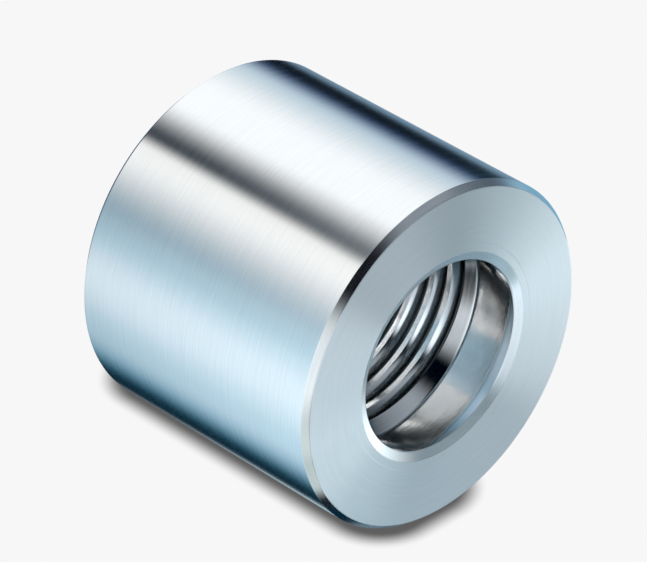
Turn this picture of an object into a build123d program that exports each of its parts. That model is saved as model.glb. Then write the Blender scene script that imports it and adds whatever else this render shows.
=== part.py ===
from build123d import *
import os
from math import radians, tan

# Weld-on adapter: a turned stainless sleeve that is welded into the wall of a vessel
# or pipe. A sensor screws in from the rear, and its nose seals on a seat behind the
# lip of the process face. The sleeve stands on its rear face, with its bore along +Z
# and the process face on top. Sizes are in millimetres, angles in degrees.

# Outside of the sleeve
outside_diameter = 30.0
overall_length = 26.0
process_edge_chamfer = 0.5
rear_edge_chamfer = 0.5

# Process opening: a shallow bevel runs in to the lip, and the seat flares out behind it
lip_diameter = 16.4
mouth_bevel_width = 0.8
mouth_bevel_depth = 0.35
seat_angle = 45.0

# Relief between the seat and the thread, where the threading tool runs out
relief_clearance = 0.1
relief_length = 3.65
relief_corner_radius = 0.4

# Parallel pipe thread G 1/2, held here by its drilled core
thread_root_diameter = 20.955
thread_depth = 0.9775
lead_in_angle = 45.0
countersink_clearance = 0.3
countersink_angle = 45.0


def flank_length(radius_change, angle):
    # Length along the axis of a cone whose wall stands at this angle to the axis
    return radius_change / tan(radians(angle))


def half_section():
    # Half of the sleeve's section, with its corners as (radius, height, rounding)
    outside_radius = outside_diameter / 2
    lip_radius = lip_diameter / 2
    mouth_radius = lip_radius + mouth_bevel_width
    root_radius = thread_root_diameter / 2
    core_radius = root_radius - thread_depth
    relief_radius = root_radius + relief_clearance
    countersink_radius = root_radius + countersink_clearance

    lip_height = overall_length - mouth_bevel_depth
    seat_end = lip_height - flank_length(relief_radius - lip_radius, seat_angle)
    relief_end = seat_end - relief_length
    thread_end = relief_end - flank_length(relief_radius - core_radius, lead_in_angle)
    thread_start = flank_length(countersink_radius - core_radius, countersink_angle)

    sharp = 0
    corners = [
        (countersink_radius, 0, sharp),
        (outside_radius - rear_edge_chamfer, 0, sharp),
        (outside_radius, rear_edge_chamfer, sharp),
        (outside_radius, overall_length - process_edge_chamfer, sharp),
        (outside_radius - process_edge_chamfer, overall_length, sharp),
        (mouth_radius, overall_length, sharp),
        (lip_radius, lip_height, sharp),
        (relief_radius, seat_end, relief_corner_radius),
        (relief_radius, relief_end, relief_corner_radius),
        (core_radius, thread_end, sharp),
        (core_radius, thread_start, sharp),
    ]
    points = [(radius, height) for radius, height, rounding in corners]
    roundings = [rounding for radius, height, rounding in corners]
    with BuildSketch(Plane.XZ) as section:
        with BuildLine():
            FilletPolyline(*points, radius=roundings, close=True)
        make_face()
    return section.sketch


def adapter_sleeve():
    # The whole adapter is one piece, turned from bar
    return revolve(half_section(), axis=Axis.Z)


os.makedirs("parts", exist_ok=True)
export_step(adapter_sleeve(), "parts/adapter_sleeve.step")
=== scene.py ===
import math
import bpy
from mathutils import Matrix, Vector


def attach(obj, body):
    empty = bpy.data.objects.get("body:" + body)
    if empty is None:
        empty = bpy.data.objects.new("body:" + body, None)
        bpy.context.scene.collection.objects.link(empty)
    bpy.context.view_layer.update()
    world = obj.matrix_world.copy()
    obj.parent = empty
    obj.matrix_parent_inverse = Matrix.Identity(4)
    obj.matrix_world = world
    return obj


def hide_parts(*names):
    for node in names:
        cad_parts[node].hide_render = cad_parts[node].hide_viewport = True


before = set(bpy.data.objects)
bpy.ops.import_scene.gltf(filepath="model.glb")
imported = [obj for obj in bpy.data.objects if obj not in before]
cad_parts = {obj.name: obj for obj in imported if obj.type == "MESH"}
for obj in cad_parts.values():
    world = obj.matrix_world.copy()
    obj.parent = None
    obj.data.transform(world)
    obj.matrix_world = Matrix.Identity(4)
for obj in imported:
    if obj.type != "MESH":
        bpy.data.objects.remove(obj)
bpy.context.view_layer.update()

mm = 0.001                                   # the sizes below are in millimetres, Blender is in metres


class Sock:
    # wraps a socket, so that shader maths is written as Python

    def __init__(self, tree, out=None):
        self.tree = tree
        self.out = out

    def make(self, kind, settings=None, inputs=None, out=0):
        node = self.tree.nodes.new(kind)
        for name, value in (settings or {}).items():
            setattr(node, name, value)
        for name, value in (inputs or {}).items():
            if isinstance(value, Sock):
                self.tree.links.new(value.out, node.inputs[name])
            else:
                node.inputs[name].default_value = value
        return Sock(self.tree, node.outputs[out] if len(node.outputs) else None)

    def calc(self, operation, first, second=0.0):
        return self.make("ShaderNodeMath", {"operation": operation}, {0: first, 1: second})

    def vector(self, operation, inputs, out="Vector"):
        return self.make("ShaderNodeVectorMath", {"operation": operation}, inputs, out)

    def __add__(self, other):
        return self.calc("ADD", self, other)

    def __radd__(self, other):
        return self.calc("ADD", other, self)

    def __sub__(self, other):
        return self.calc("SUBTRACT", self, other)

    def __rsub__(self, other):
        return self.calc("SUBTRACT", other, self)

    def __mul__(self, other):
        return self.calc("MULTIPLY", self, other)

    def __rmul__(self, other):
        return self.calc("MULTIPLY", other, self)

    def __truediv__(self, other):
        return self.calc("DIVIDE", self, other)

    def __pow__(self, power):
        return self.calc("POWER", self, power)

    def step(self, low, high, soft=True):    # 0 below low, 1 above high
        settings = {"interpolation_type": "SMOOTHSTEP" if soft else "LINEAR", "clamp": True}
        return self.make("ShaderNodeMapRange", settings, {"Value": self, "From Min": low, "From Max": high})

    def band(self, rise, full, hold, fall):  # 0, up to 1 between full and hold, and down to 0 again
        return self.step(rise, full) * (1 - self.step(hold, fall))


def newMaterial(name):
    material = bpy.data.materials.new(name)
    material.use_nodes = True
    material.node_tree.nodes.clear()
    return material, Sock(material.node_tree)


def newObject(name, points, faces):
    mesh = bpy.data.meshes.new(name)
    mesh.from_pydata(points, [], faces)
    mesh.validate()
    item = bpy.data.objects.new(name, mesh)
    bpy.context.scene.collection.objects.link(item)
    return item


def inMetres(edges):
    return [edge * mm for edge in edges]


def ringPoint(radius, angle, height):        # a point on a circle round the bore axis
    return (radius * math.cos(angle) * mm, radius * math.sin(angle) * mm, height * mm)


def loftFaces(steps, sections, count):       # joins each section of points to the one after it
    faces = []
    for station in range(steps):
        here = station * count
        there = (station + 1) % sections * count
        for row in range(count):
            after = (row + 1) % count
            faces.append((here + row, there + row, there + after, here + after))
    return faces


# The camera stands where the photo was taken from. The photo shows the sleeve lying on its side,
# so for a standing sleeve the camera is rolled.
cameraView = {
    "azimuth": 91.690,                       # degrees round the bore axis
    "elevation": 36.843,
    "roll": 119.593,
    "distance": 399.494,
    "target": (0.464, -0.557, 12.402),
    "lens": 278.334,
    "sensor": 36.0,
    "clip": (0.01, 10),                      # in metres
}


def makeCamera(view):
    azimuth = math.radians(view["azimuth"])
    elevation = math.radians(view["elevation"])
    level = math.cos(elevation)
    back = Vector((math.sin(azimuth) * level, -math.cos(azimuth) * level, math.sin(elevation)))
    camera = bpy.data.cameras.new("camera")
    camera.sensor_width = view["sensor"]
    camera.lens = view["lens"]
    camera.clip_start, camera.clip_end = view["clip"]
    holder = bpy.data.objects.new("camera", camera)
    bpy.context.scene.collection.objects.link(holder)
    aim = back.to_track_quat("Z", "Y").to_matrix().to_4x4()
    roll = Matrix.Rotation(math.radians(view["roll"]), 4, "Z")
    place = (Vector(view["target"]) + back * view["distance"]) * mm
    holder.matrix_world = Matrix.Translation(place) @ (aim @ roll)
    bpy.context.scene.camera = holder


makeCamera(cameraView)
print("camera placed")


# The sleeve, turned from bar, with its thread
sleeve = {
    "outsideDiameter": 30.0,
    "length": 26.0,
    "frontChamferWidth": 0.45,
    "frontChamferDepth": 0.56,
    "rearChamfer": 0.6,
    "lipDiameter": 16.4,
    "mouthWidth": 0.85,
    "mouthDepth": 0.35,
    "reliefRadius": 10.5775,
    "reliefLength": 3.8,
    "reliefRounding": 0.4,
    "rootRadius": 10.4775,
    "coreRadius": 9.5,
    "countersinkRadius": 10.7775,
    "edgeBreak": 0.03,                       # the light rounding that deburring leaves
    "faceEdge": 0.12,
    "ringRadius": 9.72,                      # a shallow step that the facing tool left round the mouth
    "ringStep": 0.012,
    "ringSlope": 0.05,                       # half the width of the step's slope
    "ringRounding": 0.01,
    "segments": 256,
    "cornerPieces": 4,
    "supportInset": 0.12,                    # support rings keep the shading of flats flat
    "sharpAngle": 28.0,
}
thread = {
    "pitch": 1.814,
    "flankAngle": 27.5,
    "rootRounding": 0.249,
    "rootPieces": 5,
    "crestBreak": 0.05,
    "crestFlare": 1.5,                       # how far the cutter opens past a crest, in crestBreaks
    "heightAtZero": 15.245,                  # a groove's middle at angle 0 round the bore
    "lowest": -2.0,
    "highest": 21.4,
    "innerRadius": 9.3,
    "segments": 180,
}


def roundCorner(before, corner, after, radius, pieces):
    # points of the arc that replaces a corner, from one tangent point to the other
    toBefore = (Vector(before) - Vector(corner)).normalized()
    toAfter = (Vector(after) - Vector(corner)).normalized()
    half = toBefore.angle(toAfter) / 2
    middle = (toBefore + toAfter).normalized()
    centre = Vector(corner) + middle * (radius / math.sin(half))
    start = Vector(corner) + toBefore * (radius / math.tan(half)) - centre
    sweep = start.angle_signed(Vector(corner) + toAfter * (radius / math.tan(half)) - centre)
    points = []
    for step in range(pieces + 1):
        turn = Matrix.Rotation(-sweep * step / pieces, 2)
        points.append(centre + turn @ start)
    return points


def sleeveCorners(size):
    # the half section's corners, as (radius, height, rounding)
    outside = size["outsideDiameter"] / 2
    lip = size["lipDiameter"] / 2
    length = size["length"]
    rearChamfer = size["rearChamfer"]
    ring = size["ringRadius"]
    slope = size["ringSlope"]
    step = size["ringStep"]
    relief = size["reliefRadius"]
    core = size["coreRadius"]
    seatEnd = length - size["mouthDepth"] - (relief - lip)
    reliefEnd = seatEnd - size["reliefLength"]
    small = size["edgeBreak"]
    return [
        (size["countersinkRadius"], 0, small),
        (outside - rearChamfer, 0, small),
        (outside, rearChamfer, small),
        (outside, length - size["frontChamferDepth"], small),
        (outside - size["frontChamferWidth"], length, size["faceEdge"]),
        (ring + slope, length, size["ringRounding"]),
        (ring - slope, length - step, size["ringRounding"]),
        (lip + size["mouthWidth"], length - step, small),
        (lip, length - size["mouthDepth"], small),
        (relief, seatEnd, size["reliefRounding"]),
        (relief, reliefEnd, size["reliefRounding"]),
        (core, reliefEnd - (relief - core), small),
        (core, size["countersinkRadius"] - core, small),
    ]


def sleeveOutline(size):
    corners = sleeveCorners(size)
    arcs = []
    for index, (radius, height, rounding) in enumerate(corners):
        before = corners[index - 1][:2]
        after = corners[(index + 1) % len(corners)][:2]
        arcs.append(roundCorner(before, (radius, height), after, rounding, size["cornerPieces"]))
    points = []
    for index, arc in enumerate(arcs):
        following = arcs[(index + 1) % len(arcs)][0]
        run = following - arc[-1]
        inset = min(size["supportInset"], run.length / 4)
        points += arc
        points.append(arc[-1] + run.normalized() * inset)
        points.append(following - run.normalized() * inset)
    return points


def sleeveBody(size):
    outline = sleeveOutline(size)
    segments = size["segments"]
    points = []
    for station in range(segments):
        angle = math.tau * station / segments
        points += [ringPoint(p.x, angle, p.y) for p in outline]
    return newObject("turned_sleeve", points, loftFaces(segments, segments, len(outline)))


def grooveSection(size, shape):
    # half of the cutter's section, from the root's middle to its inner corner: (radius, offset)
    slope = math.tan(math.radians(shape["flankAngle"]))
    rounding = shape["rootRounding"]
    centre = size["rootRadius"] - rounding
    steps = shape["rootPieces"]
    half = []
    for step in range(steps + 1):
        angle = math.radians(90 - shape["flankAngle"]) * step / steps
        half.append((centre + rounding * math.cos(angle), rounding * math.sin(angle)))
    radius, offset = half[-1]
    crest = size["coreRadius"] + shape["crestBreak"]
    offset += (radius - crest) * slope
    flare = offset + shape["crestFlare"] * shape["crestBreak"]
    half.append((crest, offset))
    half.append((size["coreRadius"] - shape["crestBreak"] / 2, flare))
    half.append((shape["innerRadius"], flare))
    return half


def grooveCutter(size, shape):
    half = grooveSection(size, shape)
    section = [(radius, -offset) for radius, offset in reversed(half[1:])] + half
    pitch = shape["pitch"]
    first = math.floor((shape["lowest"] - shape["heightAtZero"]) / pitch * shape["segments"])
    last = math.ceil((shape["highest"] - shape["heightAtZero"]) / pitch * shape["segments"])
    steps = last - first
    count = len(section)
    points = []
    for station in range(first, last + 1):
        turns = station / shape["segments"]
        height = shape["heightAtZero"] + pitch * turns
        points += [ringPoint(radius, math.tau * turns, height + offset) for radius, offset in section]
    faces = loftFaces(steps, steps + 1, count)
    faces.append(tuple(range(count)))
    faces.append(tuple(reversed(range(steps * count, (steps + 1) * count))))
    return newObject("groove_cutter", points, faces)


def makeSleeve(size, shape):
    body = sleeveBody(size)
    cutter = grooveCutter(size, shape)
    cut = body.modifiers.new("thread", "BOOLEAN")
    cut.operation = "DIFFERENCE"
    cut.solver = "EXACT"
    cut.object = cutter
    graph = bpy.context.evaluated_depsgraph_get()
    mesh = bpy.data.meshes.new_from_object(body.evaluated_get(graph))
    body.modifiers.clear()
    body.data = mesh
    bpy.data.objects.remove(cutter)
    mesh.polygons.foreach_set("use_smooth", [True] * len(mesh.polygons))
    mesh.set_sharp_from_angle(angle=math.radians(size["sharpAngle"]))
    return body


sleevePiece = makeSleeve(sleeve, thread)
print("sleeve made:", len(sleevePiece.data.polygons), "faces")


# Turned stainless steel: fine marks run round the axis on every surface. Radii and heights are given
# as where a change starts and where it is full.
steel = {
    "colour": (0.80, 0.825, 0.84),
    "roughness": 0.14,
    "faceRoughness": 0.30,
    "boreRoughness": 0.09,
    "cornerRoughness": 0.35,
    "anisotropy": 1.0,
    "anisotropyTurn": 0.25,                  # a quarter turn, so that the shine spreads across the marks
    "markScale": 5600.0,                     # turning marks per metre across the lay, and along it
    "markRound": 230.0,
    "markLean": 0.73,                        # the radius counts too, so the marks show on every surface
    "markDetail": 3.0,
    "markTone": 0.14,
    "markShine": 0.05,
    "markDepth": 0.15,
    "markHeight": 0.02,
    "faceFrom": (0.045, 0.02),               # below the process face
    "boreTo": (11.0, 11.2),                  # the bore lies inside this radius
    "lipFrom": (25.6, 25.66),                # and below this height
    "rootFrom": (10.05, 10.3),               # painted shade: the thread's roots are darker than the rest
    "rootHeights": (0.5, 0.7, 18.9, 19.0),
    "rootPaintedShade": 0.85,
    "middleHeights": (9.0, 10.0, 11.4, 12.6),    # painted shade also darkens the thread half way down the bore
    "middlePaintedShade": 0.90,
    "cornerFrom": (22.95, 23.1),             # the corner under the seat is painted a darker bluish grey for shade, and is rougher
    "cornerShadeColour": (0.30, 0.41, 0.49),
}


def makeSteel(look, size):
    material, sheet = newMaterial("turnedSteel")
    spot = sheet.make("ShaderNodeTexCoord", out="Object")
    x, y, z = [sheet.make("ShaderNodeSeparateXYZ", {}, {0: spot}, axis) for axis in "XYZ"]
    radius = (x * x + y * y) ** 0.5

    inside = 1 - radius.step(*inMetres(look["boreTo"]))
    inBore = inside * (1 - z.step(*inMetres(look["lipFrom"])))
    inCorner = inBore * z.step(*inMetres(look["cornerFrom"]))
    middleShadeMask = inBore * z.band(*inMetres(look["middleHeights"]))
    rootShadeMask = inside * radius.step(*inMetres(look["rootFrom"])) * z.band(*inMetres(look["rootHeights"]))
    onFace = z.step(*((size["length"] - edge) * mm for edge in look["faceFrom"]))

    across = z + radius * look["markLean"]   # changes across every turned surface
    place = sheet.make("ShaderNodeCombineXYZ", {}, {
        "X": across * look["markScale"], "Y": x * look["markRound"], "Z": y * look["markRound"]})
    marks = sheet.make("ShaderNodeTexNoise", {}, {
        "Vector": place, "Scale": 1.0, "Detail": look["markDetail"]})
    uneven = marks - 0.5

    # painted shade darkens the thread's roots and the middle of the bore; the turning marks vary the tone
    shadeAndMarks = (1 - rootShadeMask * look["rootPaintedShade"]) * (1 - middleShadeMask * look["middlePaintedShade"])
    shadeAndMarks = shadeAndMarks * (1 + uneven * look["markTone"])
    # the corner under the seat gets a painted shade colour
    tone = sheet.make("ShaderNodeMix", {"data_type": "VECTOR"}, {    # 4 and 5 are the two vectors
        "Factor": inCorner, 4: look["colour"], 5: look["cornerShadeColour"]}, 1)
    tone = sheet.vector("SCALE", {0: tone, "Scale": shadeAndMarks})
    roughness = look["roughness"] + (look["faceRoughness"] - look["roughness"]) * onFace
    roughness = roughness + uneven * look["markShine"]
    roughness = roughness + (look["boreRoughness"] - look["roughness"]) * inBore
    roughness = roughness + (look["cornerRoughness"] - look["boreRoughness"]) * inCorner
    normal = sheet.make("ShaderNodeBump", {}, {
        "Strength": look["markDepth"], "Distance": look["markHeight"] * mm, "Height": marks}, "Normal")
    shader = sheet.make("ShaderNodeBsdfPrincipled", {}, {
        "Base Color": tone, "Metallic": 1.0, "Roughness": roughness, "Normal": normal,
        "Anisotropic": look["anisotropy"], "Anisotropic Rotation": look["anisotropyTurn"]})
    sheet.make("ShaderNodeOutputMaterial", {}, {"Surface": shader})
    return material


sleevePiece.data.materials.clear()
sleevePiece.data.materials.append(makeSteel(steel, sleeve))
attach(sleevePiece, "root")
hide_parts("adapter_sleeve")
print("steel finished")


# The floor that the sleeve lies on in the photo touches its side. It is see-through from behind.
floor = {
    "up": 45.0,                              # degrees round the bore axis
    "half": 900.0,
    "shade": 0.93,
    "shadowPlace": (0.887, 9.35),            # across the bore axis and along it
    "shadowCore": (1.92, 12.55),             # half sizes of the part that lies under the sleeve
    "shadowFade": (3.70, 6.0),
    "shadowDepth": 0.877,
    "shadowRear": (-3.0, 0.0),               # behind the rear face it lies to one side only
    "shadowSide": (4.2, 5.2),
}


def axesOf(up):                              # away from the floor, across the bore axis and along it
    turn = math.radians(up)
    return {
        "up": (math.sin(turn), -math.cos(turn), 0),
        "side": (math.cos(turn), math.sin(turn), 0),
        "along": (0, 0, 1),
    }


def outsideCore(value, middle, half):        # distance from the core of the contact shadow, one way
    away = value - middle * mm
    return away.calc("MAXIMUM", away.calc("ABSOLUTE", away) - half * mm, 0)


def floorMaterial(place, axes):
    material, sheet = newMaterial("paleFloor")
    spot = sheet.make("ShaderNodeTexCoord", out="Object")
    across = sheet.vector("DOT_PRODUCT", {0: spot, 1: axes["side"]}, "Value")
    along = sheet.vector("DOT_PRODUCT", {0: spot, 1: axes["along"]}, "Value")
    beside = outsideCore(across, place["shadowPlace"][0], place["shadowCore"][0])
    beyond = outsideCore(along, place["shadowPlace"][1], place["shadowCore"][1])
    fade = ((beside * beside + beyond * beyond) ** 0.5).step(*inMetres(place["shadowFade"]))
    past = 1 - along.step(*inMetres(place["shadowRear"]))
    near = 1 - across.step(*inMetres(place["shadowSide"]))
    shadow = (1 - fade) * (1 - past * near) * place["shadowDepth"]
    tone = sheet.vector("SCALE", {0: (1, 1, 1), "Scale": (1 - shadow) * place["shade"]})
    glow = sheet.make("ShaderNodeEmission", {}, {"Color": tone, "Strength": 1.0})
    clear = sheet.make("ShaderNodeBsdfTransparent")
    fromBehind = sheet.make("ShaderNodeNewGeometry", {}, {}, "Backfacing")
    both = sheet.make("ShaderNodeMixShader", {}, {0: fromBehind, 1: glow, 2: clear})
    sheet.make("ShaderNodeOutputMaterial", {}, {"Surface": both})
    return material


def makeFloor(size, place):
    axes = axesOf(place["up"])
    up = Vector(axes["up"])
    side = Vector(axes["side"])
    centre = -up * size["outsideDiameter"] / 2
    half = place["half"]
    points = []
    for sideways, lengthways in ((-1, -1), (1, -1), (1, 1), (-1, 1)):
        points.append((centre + side * sideways * half + Vector((0, 0, lengthways * half))) * mm)
    plane = newObject("floor", points, [(0, 1, 2, 3)])
    if plane.data.polygons[0].normal.dot(up) < 0:
        plane.data.flip_normals()
    plane.visible_glossy = False
    plane.data.materials.append(floorMaterial(place, axes))


makeFloor(sleeve, floor)
print("floor laid")


# Studio light: a light tent stands round the sleeve, with soft panels and dark gaps on its inside.
# A panel's edges are given as rise, full, hold and fall. "angle" is in degrees round the bore axis,
# counted from straight above the sleeve as it lies on the floor, from -92 to 268. "along" is the part
# of the direction that goes with the bore axis, "up" the part away from the floor and "side" the part
# across. "tilt" is a direction of its own, with its edges.
angleSeam = (-92.05, -92.0)                  # where the count of the angle starts again
rearwards = (-0.92, -0.80, -0.35, 0.15)
studio = {
    "background": 0.93,
    "tentRadius": 120.0,
    "tentMiddle": 13.0,                      # height of the tent's middle
    "rings": 32,
    "around": 64,
    "shade": (0.0, 0.001, 0.004),
    "panels": {
        # above the sleeve, and behind it
        "sky": {"angle": (-75, -55, -7, 16.5), "along": rearwards, "colour": (0.62, 0.75, 0.82)},
        "skyRim": {"angle": (-80, -70, -66, -50), "along": rearwards, "colour": (0.0, 0.03, 0.11)},
        "overheadBox": {"angle": (-62, -24, -7, 16.5), "along": rearwards, "colour": (0.57, 0.45, 0.38)},
        "gap": {"angle": (6, 13, 20, 25), "along": rearwards, "colour": (0.04, 0.05, 0.06)},
        "gapFront": {"angle": (0, 9, 19, 24), "along": (-0.56, -0.44, -0.3, 0.15),
                     "colour": (0.22, 0.23, 0.23)},
        "sideBox": {"angle": (18, 27, 30, 69), "along": rearwards, "colour": (1.10, 1.08, 1.05)},
        "sideFront": {"angle": (21, 42, 58, 84), "along": (-0.58, -0.40, -0.3, 0.1),
                      "colour": (0.18, 0.14, 0.12)},
        "sideFill": {"angle": (24, 91, 144, 179), "along": (-1.3, -0.2, -0.1, 0.1),
                     "colour": (0.73, 1.0, 1.16)},
        "sidePeak": {"angle": (78, 105, 110, 144), "along": (-0.92, -0.80, -0.2, 0.2),
                     "colour": (0.32, 0.27, 0.23)},
        "deepBlue": {"angle": (149, 163, 168, 184), "along": (-0.92, -0.80, -0.2, 0.05),
                     "colour": (0.0, 0.09, 0.15)},
        "lowest": {"along": (-3, -2, -0.92, -0.80), "colour": (0.05, 0.10, 0.16)},
        # below it, where the floor's light comes back
        "under": {"angle": (167, 178, 215, 234), "along": (-0.92, -0.80, 0.6, 0.64),
                  "colour": (0.001, 0.018, 0.032)},
        "underRear": {"angle": (196, 207, 222, 236), "along": (-0.92, -0.80, -0.5, -0.4),
                      "colour": (0.18, 0.20, 0.21)},
        "underFront": {"angle": (195.5, 203, 224, 240), "along": (-0.66, -0.46, -0.42, -0.32),
                       "colour": (0.42, 0.56, 0.60)},
        "bounce": {"angle": (184, 194, 202, 212), "along": (-0.38, -0.28, -0.16, -0.02),
                   "colour": (0.14, 0.20, 0.24)},
        "lowFront": {"angle": (188, 200, 240, 262), "up": (-3, -2, -0.6, -0.3), "along": (-0.2, 0.1, 2, 3),
                     "colour": (0.25, 0.34, 0.40)},
        # to its right
        "farFloor": {"angle": (214, 235, 241, 251), "along": (-0.92, -0.80, -0.60, -0.34),
                     "colour": (0.60, 0.60, 0.58)},
        "farBlue": {"angle": (232, 250, 257, 270), "along": (-0.92, -0.80, -0.5, -0.3),
                    "colour": (0.19, 0.30, 0.41)},
        "rightLow": {"angle": (217, 238, 240, 250), "along": (-0.35, -0.05, 0.4, 0.65),
                     "colour": (0.65, 0.68, 0.70)},
        "rightFloor": {"angle": (226, 243, 251, 260), "along": (0.1, 0.4, 0.6, 0.82),
                       "colour": (0.80, 0.88, 0.92)},
        "rightBlue": {"side": (-3, -2, -0.85, -0.65), "up": (-0.6, -0.4, 0.0, 0.45),
                      "along": (-0.48, -0.34, 0.1, 0.4), "colour": (0.22, 0.45, 0.62)},
        # in front of it
        "ceiling": {"angle": (-70, -30, -13, 16), "along": (0.15, 0.45, 2, 3),
                    "colour": (0.27, 0.30, 0.335)},
        "ceilingFar": {"angle": (-45, -25, 40, 70), "along": (-0.1, 0.06, 0.30, 0.46),
                       "colour": (0.34, 0.36, 0.38)},
        "ceilingFront": {"angle": (-40, -15, -5, 20), "along": (0.62, 0.8, 2, 3),
                         "colour": (0.08, 0.08, 0.08)},
        "ceilingLow": {"angle": (-92, -82, -60, -30), "along": (-0.05, 0.15, 0.45, 0.65),
                       "colour": (0.10, 0.13, 0.16)},
        "frontBox": {"angle": (38, 74, 98, 124), "along": (0.1, 0.5, 2, 3),
                     "colour": (0.53, 0.56, 0.585)},
        "frontHigh": {"angle": (40, 62, 140, 160), "side": (0.52, 0.62, 2, 3), "along": (0.3, 0.5, 2, 3),
                      "colour": (0.32, 0.33, 0.33)},
        "leftFloor": {"angle": (40, 84, 157, 168), "along": (-0.05, 0.15, 0.42, 0.66),
                      "colour": (0.62, 0.71, 0.70)},
        "frontFloor": {"up": (-0.68, -0.63, 0.02, 0.2), "side": (-0.65, -0.15, 0.3, 0.5),
                       "tilt": ((-0.7, 0.7, 0), (-0.10, 0.13, 2, 3)), "along": (0.3, 0.6, 2, 3),
                       "colour": (0.77, 0.87, 0.94)},
        "faceFill": {"up": (-0.54, -0.40, -0.30, -0.18), "side": (-0.61, -0.51, -0.42, -0.30),
                     "along": (0.6, 0.72, 2, 3), "colour": (0.84, 0.90, 0.97)},
        "faceLeft": {"up": (-0.93, -0.85, -0.75, -0.69), "side": (-0.10, 0.0, 0.14, 0.26),
                     "along": (0.32, 0.46, 0.72, 0.82), "colour": (1.10, 1.18, 1.18)},
        "frontGlow": {"up": (-0.80, -0.66, -0.36, -0.22), "side": (-0.16, -0.06, 0.06, 0.16),
                      "along": (0.5, 0.6, 2, 3), "colour": (0.15, 0.14, 0.12)},
        "strip": {"tilt": ((0.647, 0.112, 0.754), (-0.24, -0.10, 0.10, 0.24)), "side": (-3, -2, -0.1, 0.4),
                  "along": (0.0, 0.3, 2, 3), "colour": (0.15, 0.20, 0.20)},
        "horizon": {"side": (-3, -2, -0.1, 0.1), "up": (-0.3, -0.1, 0.1, 0.3),
                    "along": (0.3, 0.65, 2, 3), "colour": (0.27, 0.35, 0.39)},
    },
}

# A round card shines into the rear opening from the bottom of a dark tube, so that only the walls of
# the bore see it. The rear chamfer mirrors the tube's wall.
cardDisc = (-2, -1, 13.9, 14.1)
rearCard = {
    "radius": 14.2,
    "gap": 5.0,                              # from the rear face to the card, and to the tube's edge
    "tubeGap": 0.05,
    "around": 64,
    "shade": (0.0, 0.0, 0.0),
    "panels": {
        "warm": {"angle": (58, 74, 175, 179), "radius": cardDisc, "colour": (2.45, 2.28, 2.12)},
        "warmFar": {"angle": (36, 48, 58, 74), "radius": (9.0, 10.5, 11.4, 12.8),
                    "colour": (2.3, 2.16, 2.02)},
        "blue": {"angle": (175, 179, 300, 320), "radius": cardDisc, "colour": (0.92, 1.38, 1.66)},
        "blueTop": {"angle": (-200, -180, -42, -36), "radius": cardDisc, "colour": (0.92, 1.5, 1.82)},
        "warmTop": {"angle": (-42, -36, 8, 22), "radius": cardDisc, "colour": (3.6, 3.4, 3.25)},
        "warmTopFar": {"angle": (8, 22, 58, 68), "radius": (9.0, 10.5, 13.9, 14.1),
                       "colour": (4.2, 3.95, 3.75)},
        "middle": {"angle": (8, 22, 58, 74), "radius": (-2, -1, 3.0, 5.0), "colour": (1.5, 1.7, 1.8)},
        "wall": {"radius": (14.12, 14.16, 30, 31), "colour": (0.03, 0.09, 0.16)},
    },
}


def partsOf(sheet, way, up):                 # how far a direction or a place goes each way, and its angle
    part = {}
    for name, axis in axesOf(up).items():
        part[name] = sheet.vector("DOT_PRODUCT", {0: way, 1: axis}, "Value")
    angle = sheet.calc("ARCTAN2", part["side"], part["up"]) * (180 / math.pi)
    part["angle"] = angle + 360 * (1 - angle.step(*angleSeam, False))
    return part


def addPanels(sheet, look, part):
    light = look["shade"]
    for panel in look["panels"].values():
        masks = [part[key].band(*panel[key]) for key in part if key in panel]
        if "tilt" in panel:
            lean, edges = panel["tilt"]
            leant = part["up"] * lean[0] + part["side"] * lean[1] + part["along"] * lean[2]
            masks.append(leant.band(*edges))
        mask = masks[0]
        for more in masks[1:]:
            mask = mask * more
        lit = sheet.vector("SCALE", {0: panel["colour"], "Scale": mask})
        light = sheet.vector("ADD", {0: light, 1: lit})
    return light


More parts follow.
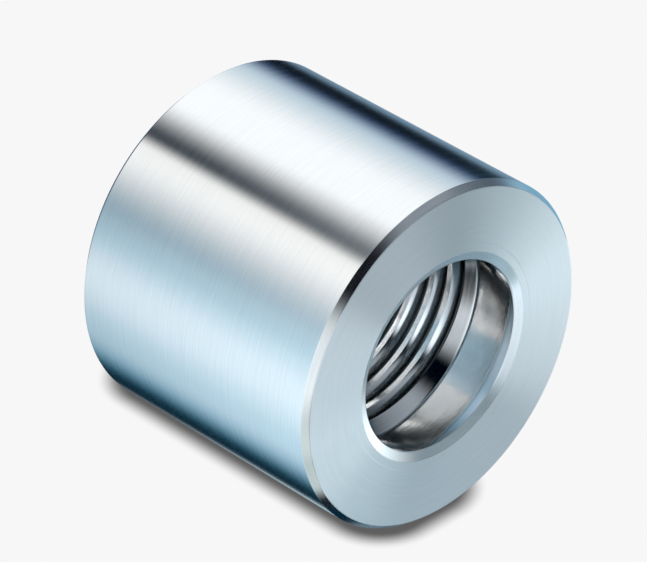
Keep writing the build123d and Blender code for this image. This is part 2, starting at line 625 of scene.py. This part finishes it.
def tentLight(sheet, look, up):              # the colour of the tent's inside
    spot = sheet.make("ShaderNodeTexCoord", out="Object")
    way = sheet.vector("SUBTRACT", {0: spot, 1: (0, 0, look["tentMiddle"] * mm)})
    way = sheet.vector("NORMALIZE", {0: way})
    return addPanels(sheet, look, partsOf(sheet, way, up))


def cardLight(sheet, look, up):              # the colour of the card and its tube
    spot = sheet.make("ShaderNodeTexCoord", out="Object")
    part = partsOf(sheet, spot, up)
    part["radius"] = (part["up"] * part["up"] + part["side"] * part["side"]) ** 0.5 / mm
    return addPanels(sheet, look, part)


def makeGlow(item, name, light, look, up):   # gives the tent or card its light, and hides it from the camera
    material, sheet = newMaterial(name)
    glow = sheet.make("ShaderNodeEmission", {}, {"Color": light(sheet, look, up), "Strength": 1.0})
    sheet.make("ShaderNodeOutputMaterial", {}, {"Surface": glow})
    material.cycles.emission_sampling = "NONE"
    item.data.materials.append(material)
    item.visible_camera = False


def makeTent(look, up):
    rings = look["rings"]
    around = look["around"]
    points = []
    for ring in range(rings + 1):
        tilt = math.pi * ring / rings
        radius = look["tentRadius"] * math.sin(tilt)
        height = look["tentMiddle"] + look["tentRadius"] * math.cos(tilt)
        points += [ringPoint(radius, math.tau * station / around, height) for station in range(around)]
    tent = newObject("light_tent", points, loftFaces(rings, rings + 1, around))
    makeGlow(tent, "tentLight", tentLight, look, up)


def makeRearCard(look, up):
    around = look["around"]
    points = []
    for depth in (look["gap"], look["tubeGap"]):
        turns = [math.tau * station / around for station in range(around)]
        points += [ringPoint(look["radius"], turn, -depth) for turn in turns]
    card = newObject("rear_card", points, [tuple(range(around))] + loftFaces(1, 2, around))
    makeGlow(card, "cardLight", cardLight, look, up)


def makeWorld(look):
    world = bpy.data.worlds.new("studio")
    bpy.context.scene.world = world
    world.use_nodes = True
    world.node_tree.nodes.clear()
    sheet = Sock(world.node_tree)
    shade = look["background"]
    glow = sheet.make("ShaderNodeBackground", {}, {"Color": (shade, shade, shade, 1), "Strength": 1.0})
    sheet.make("ShaderNodeOutputWorld", {}, {"Surface": glow})


makeTent(studio, floor["up"])
makeRearCard(rearCard, floor["up"])
makeWorld(studio)
bpy.context.scene.view_settings.view_transform = "Standard"
print("studio lit")
